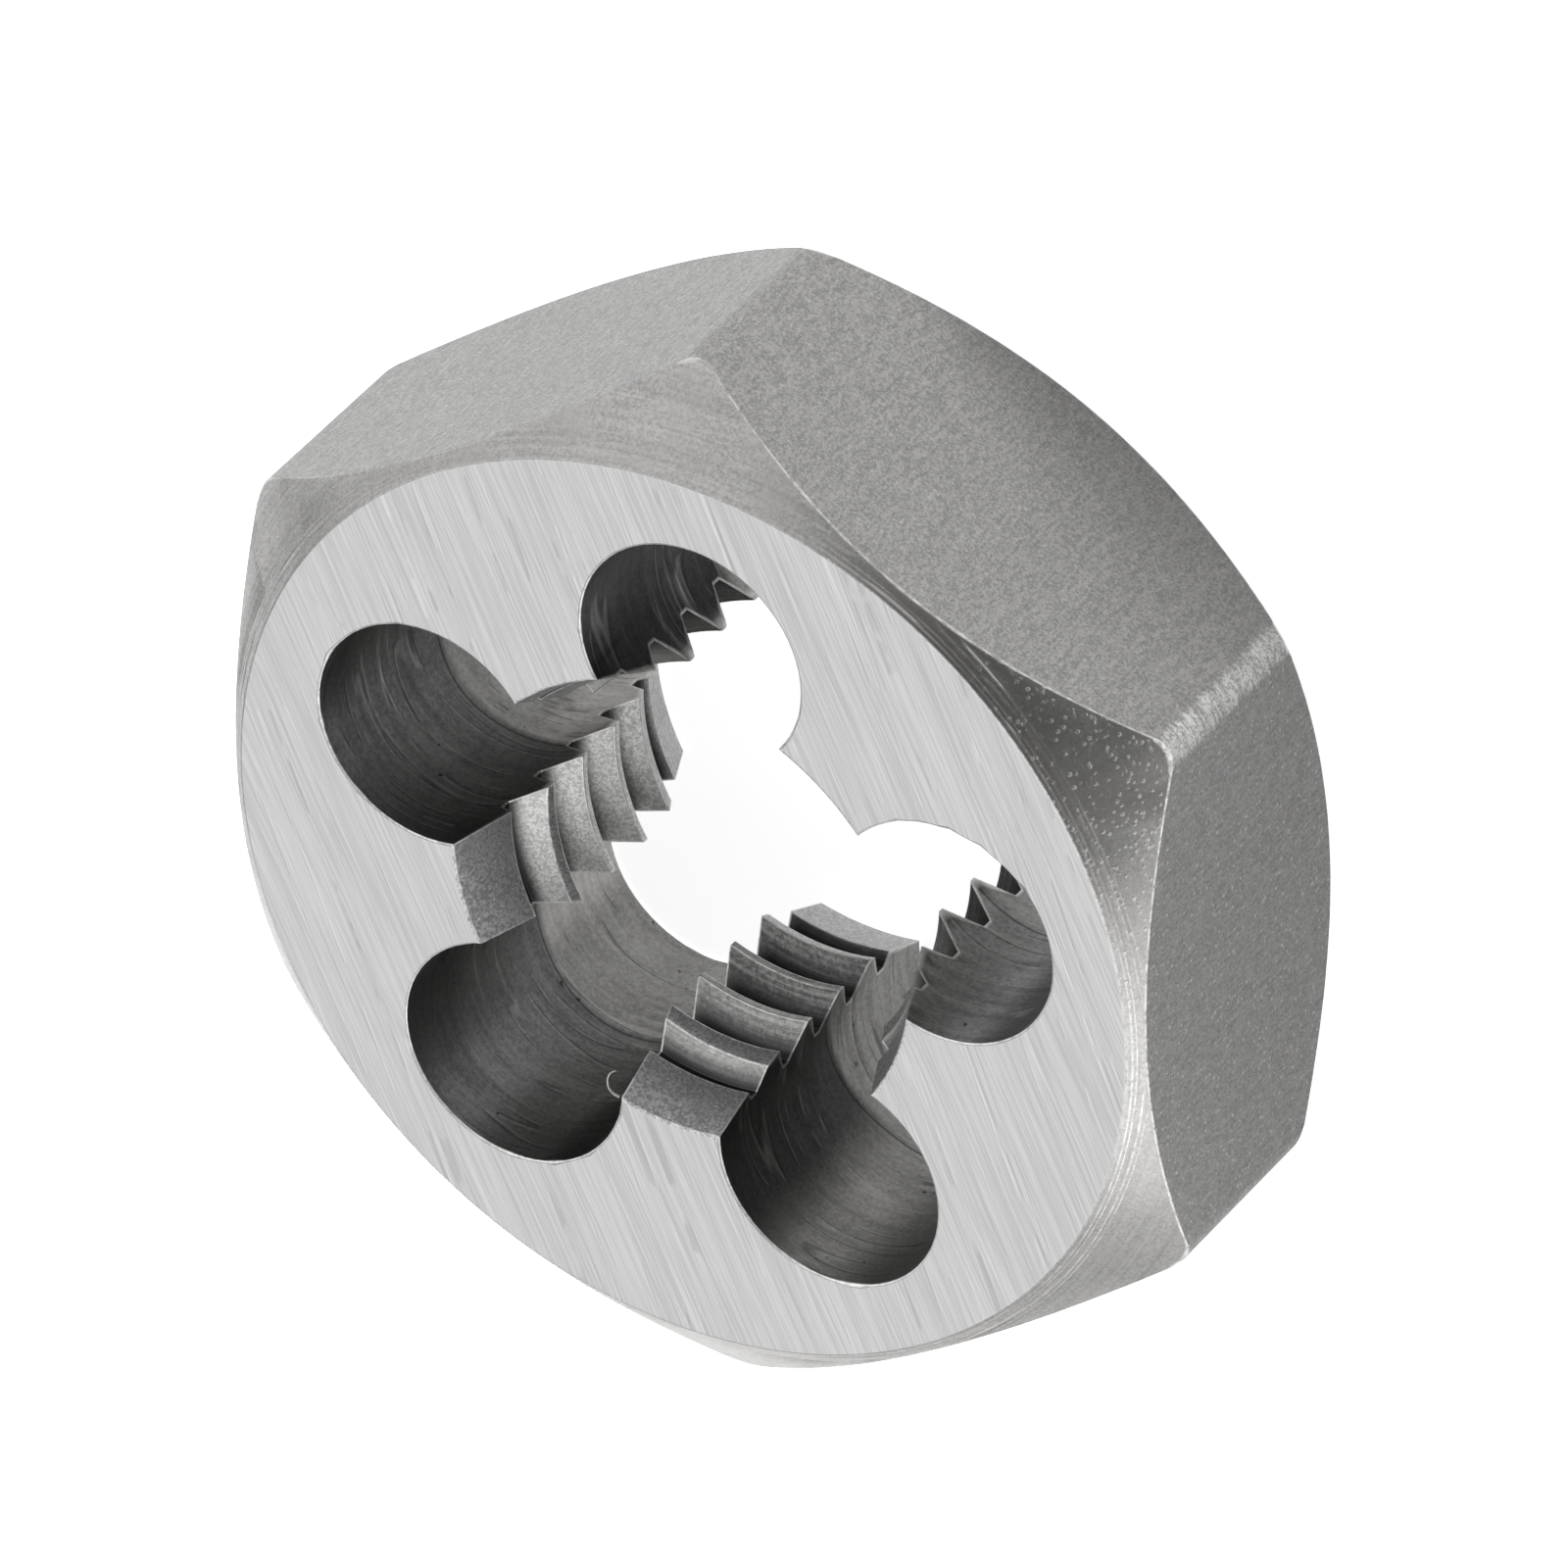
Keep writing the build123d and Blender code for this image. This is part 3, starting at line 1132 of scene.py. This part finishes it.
threadSteel = {
    # The root colour is a painted shadow in the thread's roots
    "root": (0.06, 0.06, 0.06, 1),
    "dark": (0.11, 0.109, 0.107, 1),
    "light": (0.27, 0.267, 0.263, 1),
    "frontDark": (0.40, 0.397, 0.39, 1),
    "frontLight": (0.72, 0.713, 0.702, 1),
    "tornDark": (0.46, 0.458, 0.452, 1),
    "tornLight": (0.78, 0.775, 0.765, 1),
    "tornShare": 0.85,
    "wornAndHighlight": (0.90, 0.89, 0.87, 1),
    "breaks": 0.4,
    "frontFrom": (0.45, 0.85),  # shares of the thickness
    "tones": (0.38, 0.62),
    "tornTones": (0.33, 0.67),
    "rootFrom": 0.1,  # how far outside the crests the painted shadow of the roots starts
    "tornRootFrom": 0.5,
    "roughness": (0.30, 0.42),
    "depth": 0.0035,
    "lineShare": 0.7,
    "grainDepth": 0.6,  # as a share of the lines'
    "grain": {"Grain": 12.0, "Blotch": 1.2, "Blotch Share": 0.1},
    "lines": {"Along": 0.25, "Across": 13.0, "Waver": 0.0, "Band Share": 0.1},
    "torn": {"Grain": 18.0, "Blotch": 1.2, "Blotch Share": 0.1},
    "tornSide": (43.0, 4.2, 4.8),  # direction of the land, and where along it the tear starts and is whole
}


def paintCutThread(tree, vector, steel):
    grain = useEffect(tree, "blastedGrain", vector, steel["grain"])
    roundBore, fromAxis = aroundAxis(tree, vector, die["chipHoleTurn"])  # the seam falls in a chip hole
    lines = useEffect(tree, "toolLines", roundBore, steel["lines"])
    both = blend(tree, grain["Tone"], lines["Tone"], steel["lineShare"])
    tone = rangeNode(tree, both, *steel["tones"])
    colour = mixColour(tree, tone, steel["dark"], steel["light"])
    frontColour = mixColour(tree, tone, steel["frontDark"], steel["frontLight"])
    level = times(tree, splitVector(tree, vector)[2], 1 / thickness)
    colour = mixColour(tree, rangeNode(tree, level, *steel["frontFrom"]), colour, frontColour)
    # Painted shadow in the roots
    atRoot = rangeNode(tree, fromAxis, minorRadius + steel["rootFrom"], rootRadius)
    colour = mixColour(tree, atRoot, colour, steel["root"])
    sand = useEffect(tree, "blastedGrain", vector, steel["torn"])
    sandTone = rangeNode(tree, sand["Tone"], *steel["tornTones"])
    tornColour = mixColour(tree, sandTone, steel["tornDark"], steel["tornLight"])
    atRoot = rangeNode(tree, fromAxis, minorRadius + steel["tornRootFrom"], rootRadius)
    tornColour = mixColour(tree, atRoot, tornColour, steel["root"])
    turn, start, whole = steel["tornSide"]
    torn = rangeNode(tree, alongDirection(tree, vector, turn), start, whole)  # one land was cut less cleanly
    colour = cover(tree, torn, steel["tornShare"], colour, tornColour)
    return colour, both, plus(tree, times(tree, grain["Height"], steel["grainDepth"]), lines["Height"])


def dressDie(target):
    # In the order of the finishes' list, which the faces' numbers follow
    painted = {
        "groundFace": (groundSteel, paintGroundFace),
        "drawnFlat": (flatSteel, paintDrawnFlat),
        "turnedChamfer": (chamferSteel, paintTurnedChamfer),
        "drilledWall": (wallSteel, paintDrilledWall),
        "leadInCone": (coneSteel, paintLeadInCone),
        "cutThread": (threadSteel, paintCutThread),
    }
    for name in finishes:
        target.data.materials.append(makeFinish(name, *painted[name]))
    print("scene: finishes are", ", ".join(finishes))


# Curl of metal left on the corner of one land, hanging over the chip hole

burr = {
    "path": [
        (-1.30, 6.24, 9.47),
        (-1.10, 6.25, 9.50),
        (-0.93, 6.17, 9.50),
        (-0.81, 6.00, 9.48),
        (-0.79, 5.82, 9.45),
        (-0.86, 5.68, 9.42),
    ],
    "wireRadius": (0.034, 0.016),
    "stepsBetween": 4,
    "sides": 10,
    "dark": (0.30, 0.295, 0.29, 1),
    "light": (0.72, 0.71, 0.70, 1),
    "roughness": (0.3, 0.45),
    "grain": {"Grain": 10.0},
}


def burrPath():
    # A smooth run through the path's points
    points = [Vector(point) for point in burr["path"]]
    points = [2 * points[0] - points[1]] + points + [2 * points[-1] - points[-2]]
    smooth = []
    for a, b, c, d in zip(points, points[1:], points[2:], points[3:]):
        for step in range(burr["stepsBetween"]):
            t = step / burr["stepsBetween"]
            bend = (2 * a - 5 * b + 4 * c - d) * t * t + (3 * b - a - 3 * c + d) * t ** 3
            smooth.append(b + ((c - a) * t + bend) / 2)
    return smooth + [points[-2]]


def makeBurr():
    path = burrPath()
    last = len(path) - 1
    start, end = burr["wireRadius"]
    turns = [radians(360 * corner / burr["sides"]) for corner in range(burr["sides"])]
    skin = bmesh.new()
    rings = []
    for place, centre in enumerate(path):
        along = (path[min(place + 1, last)] - path[max(place - 1, 0)]).normalized()
        side = along.cross(Vector((0, 0, 1))).normalized()
        up = side.cross(along)
        radius = start + (end - start) * place / last
        ring = [centre + (side * cos(turn) + up * sin(turn)) * radius for turn in turns]
        rings.append([skin.verts.new(spot * mm) for spot in ring])
    for before, after in zip(rings, rings[1:]):
        for corner in range(burr["sides"]):
            other = (corner + 1) % burr["sides"]
            skin.faces.new((before[corner], before[other], after[other], after[corner]))
    skin.faces.new(list(reversed(rings[0])))
    skin.faces.new(rings[-1])
    bmesh.ops.recalc_face_normals(skin, faces=skin.faces)
    mesh = toMesh("burrCurl", skin)
    mesh.shade_smooth()
    material, tree, shader, vector = newFinish("burrSteel")
    tone = useEffect(tree, "blastedGrain", vector, burr["grain"])["Tone"]
    setColour(tree, shader, burr, mixColour(tree, tone, burr["dark"], burr["light"]), tone)
    mesh.materials.append(material)
    return addObject("burrCurl", mesh)


# What the floor and the tent are made with

def anyRay(tree, *kinds):
    rays = node(tree, "ShaderNodeLightPath").outputs
    seen = rays[kinds[0]]
    for kind in kinds[1:]:
        seen = mathNode(tree, "MAXIMUM", seen, rays[kind])
    return seen


def byRay(tree, asLight, inSteel, toCamera):
    # One colour as light, one that the steel mirrors and one that the camera sees
    colour = mixColour(tree, anyRay(tree, "Is Glossy Ray", "Is Transmission Ray"), asLight, inSteel)
    return mixColour(tree, anyRay(tree, "Is Camera Ray"), colour, toCamera)


# Floor: pale paper just under the die, lengths in metres

floorPaper = {
    "half": 1.5,
    "drop": 2e-5,
    "colour": (0.86, 0.86, 0.86, 1),
    "roughness": 0.9,
    "lift": (0.87, 0.87, 0.87, 1),
    "nearLiftInSteel": (0.55, 0.55, 0.55, 1),
    "farLiftInSteel": (0.22, 0.22, 0.22, 1),
    "farFrom": (0.014, 0.06),  # where along Y the far lift starts and is whole
}


def makeFloor():
    half, low = floorPaper["half"], -floorPaper["drop"]
    corners = [(-half, -half, low), (half, -half, low), (half, half, low), (-half, half, low)]
    mesh = bpy.data.meshes.new("floor")
    mesh.from_pydata(corners, [], [(0, 1, 2, 3)])
    floor = addObject("floor", mesh)
    values = {"Base Color": floorPaper["colour"], "Roughness": floorPaper["roughness"]}
    material, tree, shader = newMaterial(
        "floorPaper", {**values, "Specular IOR Level": 0.0, "Emission Strength": 1.0}
    )
    y = splitVector(tree, node(tree, "ShaderNodeTexCoord").outputs["Object"])[1]
    inSteel = mixColour(
        tree,
        rangeNode(tree, y, *floorPaper["farFrom"]),
        floorPaper["nearLiftInSteel"],
        floorPaper["farLiftInSteel"],
    )
    link(tree, byRay(tree, (0, 0, 0, 1), inSteel, floorPaper["lift"]), shader.inputs["Emission Color"])
    mesh.materials.append(material)
    print("scene: floor is laid")


# Tent: white to the camera, dimmer as light, and grey on one side where the steel mirrors it

tent = {
    "light": (0.42, 0.42, 0.42, 1),
    "grey": (0.60, 0.60, 0.60, 1),
    "greySide": (0.15, 0.97, -0.12),
    "greyGrowsIn": (0.45, 0.8),  # along the grey side's direction
    "greyFadesOut": (0.15, 0.4),  # upwards
}


def makeTent():
    world = bpy.data.worlds.new("studioTent")
    bpy.context.scene.world = world
    world.use_nodes = True
    tree = world.node_tree
    background = tree.nodes["Background"]
    direction = node(tree, "ShaderNodeTexCoord").outputs["Generated"]
    towards = vectorMath(tree, "DOT_PRODUCT", direction, tent["greySide"])
    lowEnough = rangeNode(tree, splitVector(tree, direction)[2], *tent["greyFadesOut"], 1.0, 0.0)
    grey = times(tree, rangeNode(tree, towards, *tent["greyGrowsIn"]), lowEnough)
    inSteel = mixColour(tree, grey, (1, 1, 1, 1), tent["grey"])
    link(tree, byRay(tree, tent["light"], inSteel, (1, 1, 1, 1)), background.inputs["Color"])
    setInputs(background, {"Strength": 1.0})
    print("scene: tent is up")


# Lamps: direction from the die, distance and size in metres, spread of the beam, whether steel mirrors them

lamps = {
    "floorSoftbox": {
        "direction": (0.78, 0.30, 0.50),
        "distance": 1.0,
        "size": (0.22, 0.22),
        "spread": 24,
        "watts": 0.36,
        "mirrored": False,
    },
    "rimSoftbox": {
        "direction": (-0.82, 0.25, 0.47),
        "distance": 0.6,
        "size": (0.36, 0.26),
        "spread": 180,
        "watts": 0.2,
        "mirrored": True,
    },
    "topSoftbox": {
        "direction": (0.78, -0.25, 0.57),
        "distance": 0.6,
        "size": (0.40, 0.40),
        "spread": 180,
        "watts": 0.07,
        "mirrored": True,
    },
}


def facing(direction, distance):
    direction = Vector(direction).normalized()
    turn = direction.to_track_quat("Z", "Y").to_matrix()
    return Matrix.Translation(direction * distance) @ turn.to_4x4()


def makeLamps():
    for name, lamp in lamps.items():
        light = bpy.data.lights.new(name, "AREA")
        light.shape = "RECTANGLE"
        light.size, light.size_y = lamp["size"]
        light.spread = radians(lamp["spread"])
        light.energy = lamp["watts"]
        holder = addObject(name, light)
        holder.matrix_world = facing(lamp["direction"], lamp["distance"])
        holder.visible_glossy = lamp["mirrored"]
    print("scene: lamps are", ", ".join(lamps))


# Dark card that the steel mirrors: direction from the die, distance and half sizes in metres

darkCard = {
    "direction": (-0.22, -0.53, 0.81),
    "distance": 0.62,
    "halfSize": (0.38, 0.28),
    "colour": (0.15, 0.15, 0.15, 1),
    "corners": 64,
}


def makeDarkCard():
    skin = bmesh.new()
    bmesh.ops.create_circle(skin, cap_ends=True, segments=darkCard["corners"], radius=1.0)
    mesh = toMesh("darkCard", skin)
    card = addObject("darkCard", mesh)
    size = Matrix.Diagonal((*darkCard["halfSize"], 1, 1))
    card.matrix_world = facing(darkCard["direction"], darkCard["distance"]) @ size
    card.visible_camera = False
    material, _, _ = newMaterial("darkCardFelt", {"Base Color": darkCard["colour"], "Roughness": 1.0})
    mesh.materials.append(material)
    print("scene: dark card is up")


# Camera: where it stands about the point that it aims at, and how far it is rolled

cameraView = {
    "aim": (0.7513, 1.9049, 2.0152),
    "azimuth": -98.6513,
    "elevation": 44.7297,
    "distance": 491.93,
    "roll": -133.957,
    "lens": 466.06,
    "sensorWidth": 36,
    "sees": (0.01, 10),  # from and to how many metres
}


def makeCamera():
    lens = bpy.data.cameras.new("photoLens")
    lens.lens = cameraView["lens"]
    lens.sensor_width = cameraView["sensorWidth"]
    lens.clip_start, lens.clip_end = cameraView["sees"]
    azimuth = radians(cameraView["azimuth"])
    elevation = radians(cameraView["elevation"])
    back = Vector((cos(azimuth) * cos(elevation), sin(azimuth) * cos(elevation), sin(elevation)))
    right = Vector((0, 0, 1)).cross(back).normalized()
    up = back.cross(right)
    level = Matrix((right, up, back)).transposed()
    turn = Matrix.Rotation(radians(cameraView["roll"]), 3, "Z")
    place = (Vector(cameraView["aim"]) + back * cameraView["distance"]) * mm
    holder = addObject("photoCamera", lens)
    holder.matrix_world = Matrix.Translation(place) @ (level @ turn).to_4x4()
    bpy.context.scene.camera = holder
    print("scene: camera is set")


dieSteel = buildDie()
dressDie(dieSteel)
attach(dieSteel, "root")
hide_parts("hex_die")
burrCurl = makeBurr()
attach(burrCurl, "root")
print("scene: burr is in place")
makeFloor()
makeTent()
makeLamps()
makeDarkCard()
makeCamera()
bpy.context.scene.view_settings.view_transform = "Standard"
